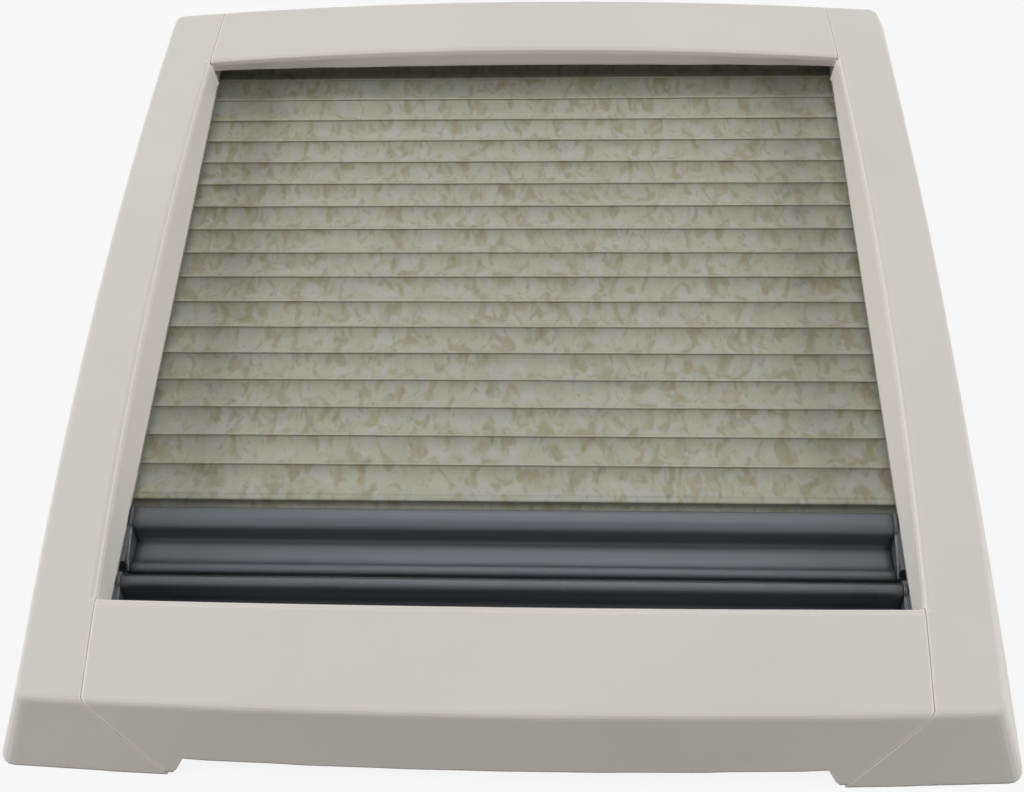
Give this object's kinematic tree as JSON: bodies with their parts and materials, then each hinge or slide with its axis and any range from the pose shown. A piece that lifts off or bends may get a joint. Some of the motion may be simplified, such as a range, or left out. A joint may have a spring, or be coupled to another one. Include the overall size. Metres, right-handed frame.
{
  "type": "skylight window blind",
  "caption": "Moulded inner frame for a skylight with a pleated blind and a pleated fly screen that slide together on side tracks.",
  "frame": {"origin": "centre of the foot plane, on the surface that the frame lies on", "axes": "+X across the blind from the left rail to the right rail, +Y along the travel from the fly screen's side to the blind's fixed end, +Z out of the face into the room"},
  "size_m": [0.5006, 0.513, 0.0372],
  "materials": {
    "frame_plastic": "satin moulded plastic, warm light grey",
    "bar_plastic": "satin blue-grey plastic",
    "track_metal": "mill-finished extrusion",
    "blind_cloth": "pleated cloth with a marbled beige pattern",
    "screen_net": "fine dark insect net",
    "cord_fibre": "braided cord",
    "steel": "zinc plated steel"
  },
  "bodies": {
    "frame": {"blind_anchor_strip": "track_metal", "blind_pleats": "blind_cloth", "bracket_screw_1": "steel", "bracket_screw_2": "steel", "bracket_screw_3": "steel", "bracket_screw_4": "steel", "bracket_screw_5": "steel", "bracket_screw_6": "steel", "bracket_screw_7": "steel", "bracket_screw_8": "steel", "cord_ferrule_far_left": "steel", "cord_ferrule_far_right": "steel", "cord_ferrule_near_left": "steel", "cord_ferrule_near_right": "steel", "cord_spring_left": "steel", "cord_spring_right": "steel", "corner_bracket_far_left": "steel", "corner_bracket_far_right": "steel", "corner_bracket_near_left": "steel", "corner_bracket_near_right": "steel", "far_crossbar": "frame_plastic", "left_guide_track": "track_metal", "left_rail": "frame_plastic", "near_crossbar": "frame_plastic", "retaining_clip_far_left": "steel", "retaining_clip_far_right": "steel", "retaining_clip_near_left": "steel", "retaining_clip_near_right": "steel", "right_guide_track": "track_metal", "right_rail": "frame_plastic", "screen_anchor_strip": "track_metal", "screen_pleats": "screen_net", "strip_screw_1": "steel", "strip_screw_2": "steel", "strip_screw_3": "steel", "strip_screw_4": "steel", "strip_screw_5": "steel", "strip_screw_6": "steel", "tension_cord_left": "cord_fibre", "tension_cord_right": "cord_fibre", "track_plug_far_left": "bar_plastic", "track_plug_far_right": "bar_plastic", "track_plug_near_left": "bar_plastic", "track_plug_near_right": "bar_plastic", "track_screw_1": "steel", "track_screw_2": "steel", "track_screw_3": "steel", "track_screw_4": "steel", "track_screw_5": "steel", "track_screw_6": "steel"},
    "blind_bar": {"blind_end_cap_left": "bar_plastic", "blind_end_cap_right": "bar_plastic", "blind_pull_bar": "bar_plastic"},
    "screen_bar": {"screen_end_cap_left": "bar_plastic", "screen_end_cap_right": "bar_plastic", "screen_pull_bar": "bar_plastic"}
  },
  "joints": [
    {"name": "blind_slide", "type": "slide", "parent": "frame", "child": "blind_bar", "axis": [0, 1, 0], "range_m": [0, 0.305], "deforming": ["blind_pleats"]},
    {"name": "screen_slide", "type": "slide", "parent": "frame", "child": "screen_bar", "axis": [0, 1, 0], "range_m": [0, 0.305], "deforming": ["screen_pleats"]}
  ],
  "couplings": [
    {"joint": "screen_slide", "follows": "blind_slide", "ratio": 1}
  ]
}
